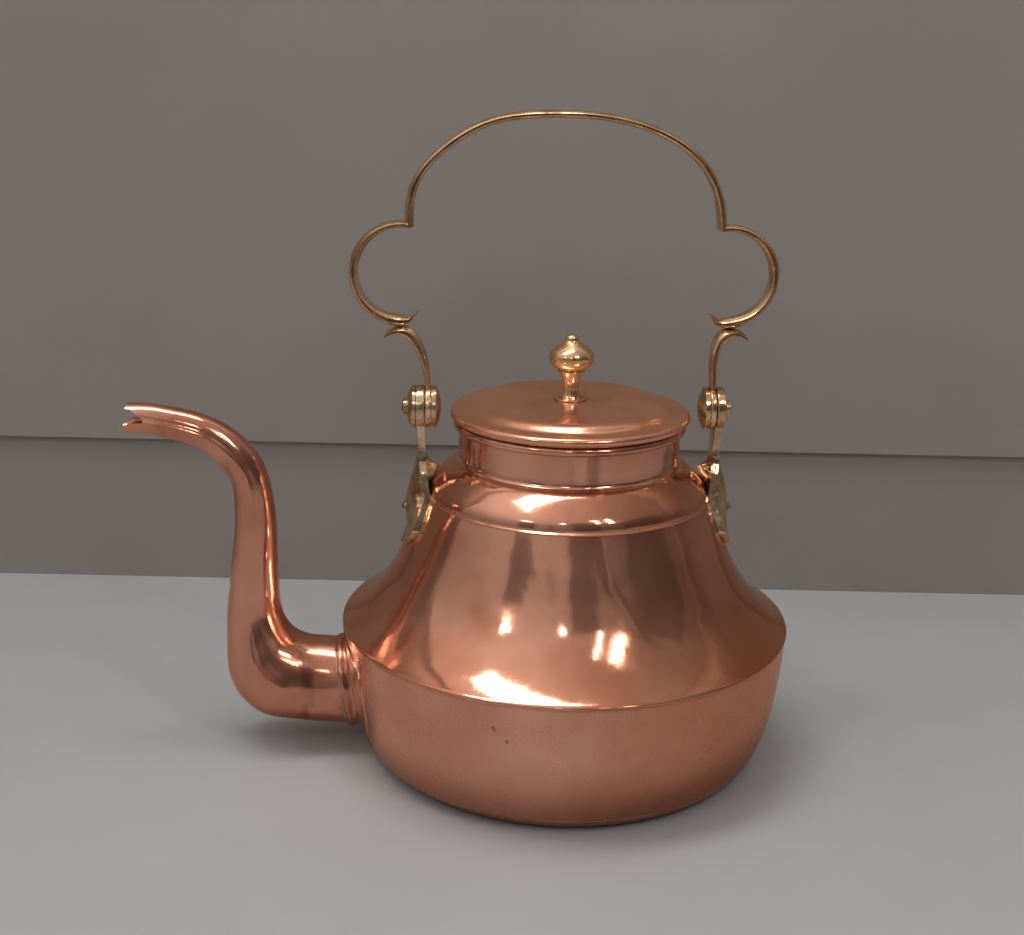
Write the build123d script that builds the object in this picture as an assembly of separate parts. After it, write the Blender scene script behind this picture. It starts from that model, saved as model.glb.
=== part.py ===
"""Copper kettle with a swan-neck spout, lift-off lid and swinging brass bail handle.

Frame: millimetres, origin at the centre of the underside, +Z up, spout toward -X.
The handle's pivot axis is parallel to X, so the bail stands in the XZ plane.
"""
import os

from build123d import *

# Body: driving sizes
SHEET = 1.5  # copper sheet
BASE_R = 117.5  # flat resting face
SEAM_R, SEAM_Z = 133.7, 10.0  # where the base pan meets the drum
GIRTH_R, GIRTH_Z = 150.0, 94.5
EDGE_R, EDGE_Z = 92.3, 182.0  # shoulder edge
NECK_R, NECK_FOOT_Z, NECK_TOP_Z = 72.6, 204.5, 228.8
LAP = 5.0  # depth of the lap joints between sheets
FILM = 0.03  # solder film between brazed faces

# Rolled rim of the neck
BEAD_R = 3.0
WIRE_R = 1.5
BEAD_AT = NECK_R + 0.9  # radius of the bead's centre

# Lid
LID_R = 78.6
LID_TOP_R, LID_TOP_Z = 64.0, 243.9
LID_CROWN = 0.8  # rise of the lid's top toward its centre
LID_SHEET = 1.4
FLANGE_R, FLANGE_DEPTH = 70.6, 18.0
KNOB_H = 42.0
KNOB_WASHER_R, KNOB_WASHER_H = 11.0, 1.2
TAIL_R = 3.0  # knob's riveted tail

# Spout: each station joins a point on the inner outline to one on the outer outline
SPOUT_STATIONS = [
    ((-287.0, 240.5), (-292.5, 221.5)),
    ((-266.0, 239.0), (-270.0, 218.5)),
    ((-234.0, 231.0), (-243.0, 210.5)),
    ((-211.0, 215.0), (-228.5, 197.5)),
    ((-198.0, 192.0), (-221.5, 184.0)),
    ((-193.5, 158.0), (-221.0, 158.0)),
    ((-193.0, 122.0), (-225.0, 122.0)),
    ((-191.5, 98.0), (-228.5, 88.0)),
    ((-185.0, 84.0), (-227.0, 49.0)),
    ((-175.0, 77.5), (-208.0, 24.5)),
    ((-164.0, 76.0), (-174.0, 17.5)),
    ((-151.5, 75.5), (-142.0, 15.5)),
]
SPOUT_SLICES = 30
SPOUT_SIDE = 0.94  # side-to-side width over the width seen in the XZ plane
SPOUT_SHEET = 1.4
MOUTH = [
    (-310, 238.6), (-284.5, 237.4), (-276.0, 231.4), (-276.4, 229.0), (-285.5, 228.4), (-291.4, 224.6), (-310, 224.0),
]

# Spout socket: (distance from the seam toward the body, growth in XZ, growth in Y)
SOCKET_STATIONS = [(0.0, 1.5, 1.5), (5.5, 1.5, 1.5), (8.0, 2.4, 5.0), (11.0, 4.0, 10.0), (14.0, 6.5, 18.0)]
SPOUT_HOLE = (22.0, 20.0)  # semi-axes of the opening in the drum wall

# Handle, all for the +X half
PIVOT_Z = 239.0
PIN_R, PIN_CLEARANCE = 4.0, 0.05
BOSS_R = 14.2
HEAD_X = 84.5  # inner face of the domed pin head
SPACER_X = 89.5
ARM_X = 91.0
ARM_OUT_X = 95.0
LUG_X = 95.4
WASHER_X = 101.4
SIDE_GAP = 0.1
STRAP_W, STRAP_T = 14.0, 5.6
CROWN_T = 4.4  # the strap thins toward the top of the arch
BEVEL, BEVEL_SHARE = 3.5, 0.45
# Centre line of the arch; it was bent by hand, so its two sides differ
ARCH_PATH = [
    (-105.2, 352.0), (-105.2, 366.0), (-100.6, 385.0), (-83.5, 404.8), (-55.5, 421.0), (-18.0, 426.4),
    (19.5, 424.7), (48.0, 417.5), (76.0, 400.5), (88.8, 381.5), (93.0, 364.0), (93.6, 352.0),
]
LEAN = -5.8  # the lobes lean toward the spout by this much
LOBE_C, LOBE_R = (104.3, 326.8), 30.7
LOBE_TIP = (93.6, 302.4)
MITRE = [(102.6, 361.2), (97.6, 354.6)]  # joint line between arch and lobe
ARM_LEAN, ARM_LEAN_Z, ARM_LEAN_H = -3.2, 257.0, 28.0  # the arm's lean grows over this height
ARM_PATH = [
    (93.0, 244.0), (93.2, 254.0), (94.3, 270.0), (97.7, 281.6), (103.0, 288.8), (111.0, 290.6), (118.6, 285.0),
]

# Lugs
LUG_RIB_W = 14.0
LUG_OUTER = [(101.4, 228.0), (99.6, 213.0), (102.6, 198.0), (106.8, 181.0), (107.8, 168.0), (105.5, 152.0)]
LUG_INNER = [(95.4, 228.0), (94.6, 209.0), (85.5, 199.6)]
LUG_FOOT_Z = 148.0
LUG_PLATE = 4.2
LUG_LEAF = [(13.0, 198.0), (15.0, 186.0), (19.0, 175.0), (25.0, 161.0), (17.0, 150.5), (0.0, 146.5)]
RIVET_ZS = (167.0,)  # one rivet through each foot
RIVET_R, RIVET_HEAD_R, RIVET_HEAD_H = 2.4, 4.2, 2.6
BURR_R, BURR_H = 5.0, 1.2


def xz(shape):
    """Place a flat sketch so that its x, y become the kettle's X, Z."""
    return Plane.XZ * shape


def spun(face):
    """Turn an (r, z) face about the kettle's axis."""
    return revolve(xz(face), Axis.Z)


def parallel(edge, distance):
    """Curve beside an edge; a positive distance lies to the left of its direction."""
    steps = 1 if edge.geom_type == GeomType.LINE else 12
    points = []
    for i in range(steps + 1):
        run = edge % (i / steps)
        points.append((edge @ (i / steps)) + Vector(-run.Y, run.X) * distance)
    return Line(*points) if steps == 1 else Spline(*points, tangents=[edge % 0, edge % 1])


def sheet(line, thickness=SHEET):
    """Face of sheet metal whose outer face is the line; it lies to the left, or to the right if negative."""
    edges = line.edges()
    inner = [parallel(edge, thickness) for edge in edges]
    ends = [Line(edges[-1] @ 1, inner[-1] @ 1), Line(inner[0] @ 0, edges[0] @ 0)]
    return make_face(Wire(list(edges) + inner + ends))


def dome(radius, height, up):
    """Domed head standing on the XY plane, above it or below it."""
    outline = Wire([Line((0, 0), (radius, 0)), TangentArc((0, up * height), (radius, 0), tangent=(1, 0)),
                    Line((0, up * height), (0, 0))])
    return spun(make_face(outline))


# Outlines of the body's outer face, (r, z), drawn upward
def base_line():
    corner = TangentArc((BASE_R, 0), (SEAM_R, SEAM_Z), tangent=(1, 0))
    return Wire([Line((0, 0), (BASE_R, 0)), corner])


def drum_line():
    return Spline((SEAM_R, SEAM_Z), (142.5, 34), (GIRTH_R - 0.7, GIRTH_Z - LAP),
                  tangents=[(0.5, 1), (0.06, 1)])


def cone_line():
    return Spline((GIRTH_R, GIRTH_Z), (123.8, 118), (105.6, 151), (EDGE_R, EDGE_Z),
                  tangents=[(-1.7, 1), (-0.42, 1)])


def dome_line():
    return Spline((EDGE_R, EDGE_Z), (89.4, 191.5), (NECK_R + 1.2, NECK_FOOT_Z), tangents=[(0.05, 1), (-1, 0.35)])


def body_solid():
    """Everything inside the outer face of the drum, waist and shoulder."""
    lines = [base_line(), drum_line(), Line((GIRTH_R - 0.7, GIRTH_Z - LAP), (GIRTH_R, GIRTH_Z - LAP)),
             Line((GIRTH_R, GIRTH_Z - LAP), (GIRTH_R, GIRTH_Z)), cone_line(), dome_line()]
    top = Line((NECK_R + 1.2, NECK_FOOT_Z), (0, NECK_FOOT_Z))
    edges = [e for line in lines for e in line.edges()]
    return spun(make_face(Wire(edges + [top, Line((0, NECK_FOOT_Z), (0, 0))])))


# Kettle body sheets
def base_pan():
    """Dished bottom with a lap that stands inside the drum's lower edge."""
    wall = drum_line()
    run = wall % 0
    inward = Vector(-run.Y, run.X)
    start = (wall @ 0) + inward * SHEET / 2 - run * 3.0
    lap = sheet(Line(start, start + run * (3.0 + LAP)), SHEET * 1.5)
    return spun(sheet(base_line())) + spun(lap) - spun(drum_face())


def drum_face():
    return sheet(drum_line())


def lower_body():
    """Drum, with a joggled top edge under the skirt and the spout's opening."""
    joggle_r = GIRTH_R - SHEET - FILM
    low = GIRTH_Z - LAP - 1.2
    edge = Polyline((joggle_r - SHEET, low), (GIRTH_R - 0.8, low), (joggle_r, low + 1.2), (joggle_r, GIRTH_Z - 1.3),
                    (joggle_r - SHEET, GIRTH_Z - 1.3), close=True)
    drum = spun(drum_face()) + spun(make_face(edge))
    return drum - skirt_lip() - spout_tunnel()


def skirt_lip():
    lip = Pos(GIRTH_R - SHEET / 2, GIRTH_Z - LAP / 2) * Rectangle(SHEET, LAP)
    return spun(lip)


def upper_body():
    """Concave waist sheet whose turned-down lip laps over the drum."""
    lip = Pos(GIRTH_R - SHEET / 2, GIRTH_Z - LAP / 2 + 0.3) * Rectangle(SHEET, LAP)
    shell = spun(sheet(cone_line())) + spun(lip)
    return shell - shoulder_sheet() - rivet_bores()


def shoulder_sheet():
    """Domed shoulder with its edge turned down outside the waist's top."""
    crest = Pos(EDGE_R + 0.1, EDGE_Z) * Circle(0.9)
    return spun(sheet(dome_line())) + spun(crest)


def shoulder():
    return shoulder_sheet() - spun(neck_face())


def neck_face():
    """Neck wall with a turned-out foot flange and a rim rolled around the wire."""
    foot_z = NECK_FOOT_Z + 0.2
    wall_top = NECK_TOP_Z + BEAD_R / 2
    wall = Pos(NECK_R - SHEET / 2, (foot_z - SHEET + wall_top) / 2) * Rectangle(SHEET, wall_top - foot_z + SHEET)
    flange = Pos(NECK_R + 0.4, foot_z - SHEET / 2) * Rectangle(4.0, SHEET)
    bead = Pos(BEAD_AT, NECK_TOP_Z) * Circle(BEAD_R)
    hole = Pos(BEAD_AT, NECK_TOP_Z) * Circle(WIRE_R + FILM)
    bore = Pos((NECK_R - SHEET) / 2, NECK_TOP_Z) * Rectangle(NECK_R - SHEET, 20)
    return wall + flange + bead - hole - bore


def neck_collar():
    return spun(neck_face())


def neck_rim_wire():
    return spun(Pos(BEAD_AT, NECK_TOP_Z) * Circle(WIRE_R))


# Lid
def lid_line():
    """Outer face of the lid from the centre down its cove to the rolled edge."""
    return Wire([
        Line((0, LID_TOP_Z + LID_CROWN), (KNOB_WASHER_R + 1, LID_TOP_Z + LID_CROWN)),
        Spline((KNOB_WASHER_R + 1, LID_TOP_Z + LID_CROWN), (LID_TOP_R - 6, LID_TOP_Z), tangents=[(1, 0), (1, -0.05)]),
        Spline((LID_TOP_R - 6, LID_TOP_Z), (LID_TOP_R + 1, LID_TOP_Z - 2.0), (LID_TOP_R + 4.5, LID_TOP_Z - 4.6),
               (LID_R - 5.0, LID_TOP_Z - 5.6), tangents=[(1, -0.05), (1, -0.1)]),
    ])


def lid_cover():
    """Lid sheet with a raised flat top, a cove and a rolled outer edge."""
    crown = sheet(lid_line(), -LID_SHEET)
    lip = Pos(LID_R - 3.3, LID_TOP_Z - 8.6) * Ellipse(3.3, 3.1)
    inside = Pos(LID_R - 12, LID_TOP_Z - 10) * Rectangle(12, 6)
    cover = spun(crown + (lip - inside))
    return cover - Pos(0, 0, LID_TOP_Z) * Cylinder(TAIL_R, 20)


def lid_flange():
    """Ring under the lid that drops into the neck."""
    top = LID_TOP_Z - 5.6 - LID_SHEET
    wall = Pos(FLANGE_R - SHEET / 2, top - FLANGE_DEPTH / 2) * Rectangle(SHEET, FLANGE_DEPTH)
    turned = Pos(FLANGE_R - 2.0, top - SHEET / 2) * Rectangle(4.0, SHEET)
    return spun(wall + turned) - spun(sheet(lid_line(), -LID_SHEET))


def knob_washer():
    base = LID_TOP_Z + LID_CROWN
    washer = Pos(0, 0, base) * Cylinder(KNOB_WASHER_R, KNOB_WASHER_H, align=(Align.CENTER, Align.CENTER, Align.MIN))
    edge = washer.edges().filter_by(GeomType.CIRCLE)
    return fillet(edge, 0.5) - Pos(0, 0, LID_TOP_Z) * Cylinder(TAIL_R, 20)


def lid_knob():
    """Turned baluster knob with a small button top and a riveted tail."""
    z0 = LID_TOP_Z + LID_CROWN + KNOB_WASHER_H
    top = z0 + KNOB_H
    stem = Spline((7.2, z0), (5.3, z0 + 6), (8.0, z0 + 17), tangents=[(-0.6, 1), (0.6, 1)])
    bulb = Spline((8.9, z0 + 18.5), (14.8, z0 + 27.5), (7.6, z0 + 35.5), (3.4, top - 2.6),
                  tangents=[(1, 0.15), (-0.5, 1)])
    outline = Wire([Line((0, z0), (7.2, z0)), stem, Line((8.0, z0 + 17), (8.9, z0 + 18.5)), bulb,
                    TangentArc((0, top), (3.4, top - 2.6), tangent=(1, 0)), Line((0, top), (0, z0))])
    tail_z = LID_TOP_Z - 4.0
    tail = Pos(0, 0, tail_z) * Cylinder(TAIL_R, z0 - tail_z + 1, align=(Align.CENTER, Align.CENTER, Align.MIN))
    head = Pos(0, 0, tail_z) * dome(4.4, 3.0, -1)
    return spun(make_face(outline)) + tail + head


def knob_burr():
    """Burr washer that the knob's tail is closed over, under the lid."""
    low, high = LID_TOP_Z - 4.0, LID_TOP_Z + LID_CROWN - LID_SHEET - 0.1
    burr = Pos(0, 0, low) * Cylinder(7.5, high - low, align=(Align.CENTER, Align.CENTER, Align.MIN))
    return burr - Pos(0, 0, LID_TOP_Z) * Cylinder(TAIL_R, 20) - spun(sheet(lid_line(), -LID_SHEET))


# Spout
def spout_section(station, grow_in=0.0, grow_side=None, shift=0.0):
    """Elliptical section across the spout between an inner and an outer outline point."""
    inner, outer = Vector(station[0][0], 0, station[0][1]), Vector(station[1][0], 0, station[1][1])
    across = inner - outer
    half = across.length / 2
    grow_side = grow_in if grow_side is None else grow_side
    along = across.normalized().cross(Vector(0, 1, 0))
    plane = Plane((inner + outer) * 0.5 + along * shift, x_dir=across, z_dir=along)
    return plane * Ellipse(half + grow_in, half * SPOUT_SIDE + grow_side)


def between(points, t):
    """Point a fraction t of the way along a smooth curve through evenly counted points."""
    last = len(points) - 1
    i = min(int(t * last), last - 1)
    u = t * last - i
    a, b, c, d = (Vector(*points[min(max(i + k, 0), last)]) for k in (-1, 0, 1, 2))
    bend = (a * 2 - b * 5 + c * 4 - d) * u**2 + (b * 3 - a - c * 3 + d) * u**3
    return b + ((c - a) * u + bend) * 0.5


def spout_core(grow, first=0.0):
    """Solid swan neck, grown outward, from a fraction of its length to its root."""
    inner, outer = zip(*SPOUT_STATIONS)
    sections = []
    for i in range(SPOUT_SLICES + 1):
        t = first + (1 - first) * i / SPOUT_SLICES
        a, b = between(inner, t), between(outer, t)
        sections.append(spout_section(((a.X, a.Y), (b.X, b.Y)), grow))
    return loft(sections, ruled=True)


def spout():
    """Swan neck with a notched mouth."""
    mouth = extrude(xz(make_face(Polyline(*MOUTH, close=True))), 40, both=True)
    return spout_core(0.0) - spout_core(-SPOUT_SHEET) - mouth


def spout_tunnel():
    """Opening through the drum wall behind the spout."""
    seam = SPOUT_STATIONS[-1]
    centre = (Vector(*seam[0]) + Vector(*seam[1])) * 0.5
    tunnel = Plane((centre.X, 0, centre.Y), x_dir=(0, 0, 1), z_dir=(1, 0, 0)) * Ellipse(*SPOUT_HOLE)
    return extrude(tunnel, 45)


def spout_socket():
    """Flared collar between the spout's end and the drum."""
    seam = SPOUT_STATIONS[-1]
    sign = -1 if spout_section(seam, shift=1).center().X < spout_section(seam).center().X else 1
    outer = [spout_section(seam, a, b, sign * (s - 4)) for s, a, b in SOCKET_STATIONS]
    inner = [spout_section(seam, a - 2.9, b - 2.9, sign * (s - 4)) for s, a, b in SOCKET_STATIONS]
    collar = loft(outer) - loft(inner)
    return collar - body_solid() - spout_core(0.0, 0.9)


# Handle
def ribbon(path, thickness, share):
    """Outline of a strap whose thickness varies along its centre line."""
    steps = 40
    left, right = [], []
    for i in range(steps + 1):
        t = i / steps
        place, run = path @ t, path % t
        half = share * thickness(t) / 2
        left.append((place.X - run.Y * half, place.Y + run.X * half))
        right.append((place.X + run.Y * half, place.Y - run.X * half))
    ends = [Line(left[-1], right[-1]), Line(right[0], left[0])]
    return make_face(Wire([Spline(*left), ends[0], Spline(*right[::-1]), ends[1]]))


def strap(path, thickness):
    """Bevelled strap standing on a centre line in the XZ plane."""
    half = STRAP_W / 2
    layers = [(-half, BEVEL_SHARE), (-half + BEVEL, 1), (half - BEVEL, 1), (half, BEVEL_SHARE)]
    return loft([Pos(0, y, 0) * xz(ribbon(path, thickness, share)) for y, share in layers], ruled=True)


def mitre_block(depth):
    """Block on one side of the joint line; a positive depth lies below and outside it."""
    outer, inner = Vector(*MITRE[0]), Vector(*MITRE[1])
    run = (outer - inner).normalized()
    across = Vector(run.Y, -run.X) * depth
    near, far = inner - run * 15, outer + run * 6
    corners = [near, far, far + across, near + across]
    return extrude(xz(make_face(Polyline(*[(c.X, c.Y) for c in corners], close=True))), STRAP_W, both=True)


def mirrored(shape):
    return mirror(shape, about=Plane.YZ)


def sided(shape, side):
    """The shape itself on the +X side, or its mirror image on the -X side."""
    return shape if side > 0 else mirrored(shape)


def arch_thickness(t):
    return CROWN_T + (STRAP_T - CROWN_T) * abs(2 * t - 1)


def handle_arch():
    path = Spline(*ARCH_PATH, tangents=[(0, 1), (0, -1)])
    block = mitre_block(20)
    return strap(path, arch_thickness) - Pos(LEAN, 0, 0) * (block + mirrored(block))


def lobe_path():
    x, z = LOBE_C
    lead = Line((x - 12, z + LOBE_R), (x, z + LOBE_R))
    arc = CenterArc(LOBE_C, LOBE_R, 90, -188)
    curl = TangentArc(arc @ 1, LOBE_TIP, tangent=arc % 1)
    return Wire([lead, arc, curl])


def lobe_thickness(t):
    """Thin at the joint with the arch, thickest over the arm, then down to the tip."""
    swell = STRAP_T - 1.6 * max(0.0, 1 - t / 0.35) + 1.0 * max(0.0, 1 - abs(t - 0.84) / 0.12)
    return swell if t < 0.84 else 0.7 + (swell - 0.7) * (1 - t) / 0.16


def lobe(side):
    shape = strap(lobe_path(), lobe_thickness) - mitre_block(-20)
    return Pos(LEAN, 0, 0) * sided(shape, side)


def arm_thickness(t):
    if t < 0.72:
        return 3.8 + 5.0 * (t / 0.72) ** 2
    return 8.8 - 8.1 * ((t - 0.72) / 0.28) ** 1.3


def arm(side):
    """Arm with its outward cusp on top and the pivot boss at the bottom."""
    points = []
    for x, z in ARM_PATH:
        share = min(1, max(0, (z - ARM_LEAN_Z) / ARM_LEAN_H))
        points.append((side * x + ARM_LEAN * share, z))
    blade = strap(Spline(*points), arm_thickness) - Pos(0, 0, PIVOT_Z - 10) * Box(240, 60, 20)
    boss = along_x(Pos((ARM_X + ARM_OUT_X) / 2, BOSS_R / 2) * Rectangle(ARM_OUT_X - ARM_X, BOSS_R))
    hole_r = PIN_R + PIN_CLEARANCE
    hole = along_x(Pos((HEAD_X + WASHER_X) / 2, hole_r / 2) * Rectangle(WASHER_X - HEAD_X, hole_r))
    clear = room(ARM_X - 10, ARM_X) + room(ARM_OUT_X, ARM_OUT_X + 10) + hole
    return blade + sided(boss, side) - sided(clear, side) - lobe(side)


def room(start, end):
    """Space around the pivot that the neighbouring discs need."""
    radius = BOSS_R + 0.6
    return along_x(Pos((start + end) / 2, radius / 2) * Rectangle(end - start, radius))


# Lugs
def lug_outline():
    """XZ outline of the lug's rib, from under its boss to the foot."""
    outer = Spline(*LUG_OUTER)
    tip = LUG_OUTER[-1]
    return make_face(Wire([
        outer, Line(tip, (tip[0] - 4, LUG_FOOT_Z)), Line((tip[0] - 4, LUG_FOOT_Z), (76, LUG_FOOT_Z)),
        Line((76, LUG_FOOT_Z), (76, 192)), Line((76, 192), LUG_INNER[2]), Line(LUG_INNER[2], LUG_INNER[1]),
        Line(LUG_INNER[1], LUG_INNER[0]), Line(LUG_INNER[0], LUG_OUTER[0]),
    ]))


def leaf():
    half = [(y, z) for y, z in LUG_LEAF]
    right = Spline(*half[:-1])
    left = Spline(*[(-y, z) for y, z in half[:-1]])
    point = half[-1]
    edges = [right, Line(half[-2], point), Line(point, (-half[-2][0], half[-2][1])), left,
             Line((-half[0][0], half[0][1]), half[0])]
    return extrude(Plane.YZ * make_face(Wire(edges)), 140)


def lug_right():
    """Lug with a round boss, a rib, an inward heel and a leaf foot riveted to the waist."""
    boss = Plane.YZ * (Pos(0, PIVOT_Z) * Circle(BOSS_R))
    boss = Pos(LUG_X, 0, 0) * extrude(boss, WASHER_X - LUG_X)
    rib = extrude(xz(lug_outline()), LUG_RIB_W / 2, both=True)
    skin = spun(sheet(cone_line(), -LUG_PLATE)) + spun(sheet(dome_line(), -LUG_PLATE))
    hole = Pos(LUG_X, 0, PIVOT_Z) * Rot(0, 90, 0) * Cylinder(PIN_R, 60)
    lug = boss + rib + (skin & leaf())
    return lug - body_solid() - shoulder_sheet() - hole - rivets_right()


# Rivets through the lug's foot
def rivet_frame(z):
    """Plane on the waist at height z, its normal pointing out of the sheet."""
    line = cone_line()
    samples = [line @ (i / 200) for i in range(201)]
    i = min(range(201), key=lambda k: abs(samples[k].Y - z))
    run = line % (i / 200)
    place = samples[i]
    return Plane((place.X, 0, place.Y), z_dir=(run.Y, 0, -run.X))


def rib_depth(frame):
    """Distance from the waist to the rib's outer face along a rivet."""
    edge = Spline(*LUG_OUTER)
    best = min((edge @ (i / 400) for i in range(401)),
               key=lambda p: abs((Vector(p.X, 0, p.Y) - frame.origin).dot(frame.x_dir)))
    return (Vector(best.X, 0, best.Y) - frame.origin).dot(frame.z_dir)


def rivets_right():
    heads = []
    for z in RIVET_ZS:
        frame = rivet_frame(z)
        depth = rib_depth(frame)
        shank = frame * Pos(0, 0, -SHEET - BURR_H) * Cylinder(
            RIVET_R, depth + SHEET + BURR_H + 0.5, align=(Align.CENTER, Align.CENTER, Align.MIN))
        head = frame * Pos(0, 0, depth) * dome(RIVET_HEAD_R, RIVET_HEAD_H, 1)
        tail = frame * Pos(0, 0, -SHEET - BURR_H) * dome(3.4, 1.6, -1)
        heads.append(shank + head + tail)
    return heads


def rivet_bores():
    """Holes for every lug rivet, both sides."""
    bores = []
    for z in RIVET_ZS:
        bore = rivet_frame(z) * Cylinder(RIVET_R, 60)
        bores += [bore, mirrored(bore)]
    return bores


def burrs_right():
    """Burr washers under the rivets' inner ends."""
    rings = []
    for z in RIVET_ZS:
        frame = rivet_frame(z)
        ring = frame * Pos(0, 0, -SHEET - BURR_H) * Cylinder(
            BURR_R, BURR_H + 1.0, align=(Align.CENTER, Align.CENTER, Align.MIN))
        rings.append(ring - frame * Cylinder(RIVET_R, 60) - spun(sheet(cone_line())))
    return rings


# Pivots
def along_x(profile):
    """Turn an (x, radius) outline about the pivot axis."""
    return revolve(Pos(0, 0, PIVOT_Z) * xz(profile), Axis((0, 0, PIVOT_Z), (1, 0, 0)))


def pivot_pin(washer_t):
    """Pin with a wide domed head inside the handle and a closed end outside the washer."""
    face = SPACER_X
    end = WASHER_X + washer_t
    shank = Line((face, PIN_R), (end, PIN_R))
    crown = TangentArc((HEAD_X, 0), (face - 1.6, BOSS_R - 0.2), tangent=(0, 1))
    outline = Wire([
        crown, Line((face - 1.6, BOSS_R - 0.2), (face, BOSS_R - 0.2)), Line((face, BOSS_R - 0.2), (face, PIN_R)), shank,
        Line((end, PIN_R), (end, PIN_R + 1.6)), Line((end, PIN_R + 1.6), (end + 2.2, PIN_R + 1.2)),
        TangentArc((end + 3.8, 0), (end + 2.2, PIN_R + 1.2), tangent=(0, 1)),
        Line((end + 3.8, 0), (HEAD_X, 0)),
    ])
    return along_x(make_face(outline))


def pivot_spacer():
    """Thin ring between the pin's head and the arm's boss."""
    low, high = SPACER_X + SIDE_GAP / 2, ARM_X - SIDE_GAP
    ring = Pos((low + high) / 2, (PIN_R + BOSS_R - 0.8) / 2) * Rectangle(high - low, BOSS_R - 0.8 - PIN_R)
    return along_x(ring)


def outer_washer(radius, thickness, dish):
    """Washer outside the lug, domed by dish."""
    start, end = WASHER_X, WASHER_X + thickness
    outline = Wire([
        Line((start, PIN_R), (start, radius)), Line((start, radius), (end - dish, radius)),
        TangentArc((end, PIN_R), (end - dish, radius), tangent=(0, 1)),
        Line((end, PIN_R), (start, PIN_R)),
    ])
    return along_x(make_face(outline))


DISHED = (BOSS_R - 0.2, 5.4, 3.4)  # radius, thickness, dish
FLAT = (8.0, 1.6, 0.5)


def nodes():
    """Every node's name and shape."""
    lug = lug_right()
    rivets, burrs = rivets_right(), burrs_right()
    spacer = pivot_spacer()
    return {
        "base_pan": base_pan(),
        "lower_body": lower_body(),
        "upper_body": upper_body(),
        "shoulder": shoulder(),
        "neck_collar": neck_collar(),
        "neck_rim_wire": neck_rim_wire(),
        "spout": spout(),
        "spout_socket": spout_socket(),
        "lug_right": lug,
        "lug_left": mirrored(lug),
        "lug_rivets": Compound(rivets + [mirrored(r) for r in rivets]),
        "lug_rivet_burrs": Compound(burrs + [mirrored(b) for b in burrs]),
        "pivot_pin_right": pivot_pin(FLAT[1]),
        "pivot_pin_left": mirrored(pivot_pin(DISHED[1])),
        "pivot_spacers": Compound([spacer, mirrored(spacer)]),
        "pivot_washer_right": outer_washer(*FLAT),
        "pivot_washer_left": mirrored(outer_washer(*DISHED)),
        "handle_arch": handle_arch(),
        "handle_lobe_right": lobe(1),
        "handle_lobe_left": lobe(-1),
        "handle_arm_right": arm(1),
        "handle_arm_left": arm(-1),
        "lid_cover": lid_cover(),
        "lid_flange": lid_flange(),
        "knob_washer": knob_washer(),
        "lid_knob": lid_knob(),
        "knob_burr": knob_burr(),
    }


os.makedirs("parts", exist_ok=True)
for name, shape in nodes().items():
    export_step(shape, f"parts/{name}.step")
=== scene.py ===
"""Copper kettle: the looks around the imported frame.

Meshes are written in millimetres of the row frame and scaled to metres when they are made.
"""

import math

import bmesh
import bpy
import numpy as np
from mathutils import Matrix, Vector, noise


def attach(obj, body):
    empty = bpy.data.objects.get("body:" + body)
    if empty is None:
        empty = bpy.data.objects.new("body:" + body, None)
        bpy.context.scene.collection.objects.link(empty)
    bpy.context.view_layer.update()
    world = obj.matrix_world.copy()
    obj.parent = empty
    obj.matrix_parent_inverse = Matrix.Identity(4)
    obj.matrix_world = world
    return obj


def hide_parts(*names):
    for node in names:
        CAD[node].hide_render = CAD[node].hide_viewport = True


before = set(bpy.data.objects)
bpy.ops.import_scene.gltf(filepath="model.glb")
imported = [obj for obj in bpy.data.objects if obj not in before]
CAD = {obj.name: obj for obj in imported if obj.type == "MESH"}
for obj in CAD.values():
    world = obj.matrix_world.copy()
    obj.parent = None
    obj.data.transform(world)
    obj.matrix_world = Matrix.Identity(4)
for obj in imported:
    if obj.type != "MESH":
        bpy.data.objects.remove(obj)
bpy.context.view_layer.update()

MM = 0.001
BODY, LID, BAIL = "kettle_body", "lid", "handle"
SIDES = (1, "right"), (-1, "left")


# ---------------------------------------------------------------- curves
def spline(points, start, end, count):
    """Clamped cubic through points, with the given end directions, as count + 1 samples."""
    p = np.array(points, float)
    d = np.linalg.norm(np.diff(p, axis=0), axis=1)
    n = len(p)
    a = np.eye(n)
    m = np.zeros_like(p)
    m[0] = np.array(start) / np.linalg.norm(start)
    m[-1] = np.array(end) / np.linalg.norm(end)
    for i in range(1, n - 1):
        a[i, i - 1:i + 2] = d[i], 2 * (d[i - 1] + d[i]), d[i - 1]
        m[i] = 3 * (d[i] * (p[i] - p[i - 1]) / d[i - 1] + d[i - 1] * (p[i + 1] - p[i]) / d[i])
    m = np.linalg.solve(a, m)
    t = np.concatenate([[0], np.cumsum(d)])
    out = []
    for s in np.linspace(0, t[-1], count + 1):
        i = min(int(np.searchsorted(t, s, "right")) - 1, n - 2)
        u = (s - t[i]) / d[i]
        ends = (2 * u**3 - 3 * u**2 + 1) * p[i] + (3 * u**2 - 2 * u**3) * p[i + 1]
        out.append(ends + d[i] * ((u**3 - 2 * u**2 + u) * m[i] + (u**3 - u**2) * m[i + 1]))
    return np.array(out)


def flow(points, count):
    """Smooth curve through points with free ends."""
    p = np.array(points, float)
    return spline(p, p[1] - p[0], p[-1] - p[-2], count)


def arc(cx, cz, r, a0, a1, count):
    """Points on an arc, angles in degrees."""
    a = np.radians(np.linspace(a0, a1, count + 1))
    return np.stack([cx + r * np.cos(a), cz + r * np.sin(a)], 1)


def normals(path):
    """Unit normals to the left of an open path."""
    t = np.gradient(path, axis=0)
    t /= np.linalg.norm(t, axis=1)[:, None]
    return np.stack([-t[:, 1], t[:, 0]], 1)


def turns(count):
    """Evenly spaced angles round a circle."""
    return [2 * math.pi * j / count for j in range(count)]


CORNER = math.radians(150)


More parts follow.
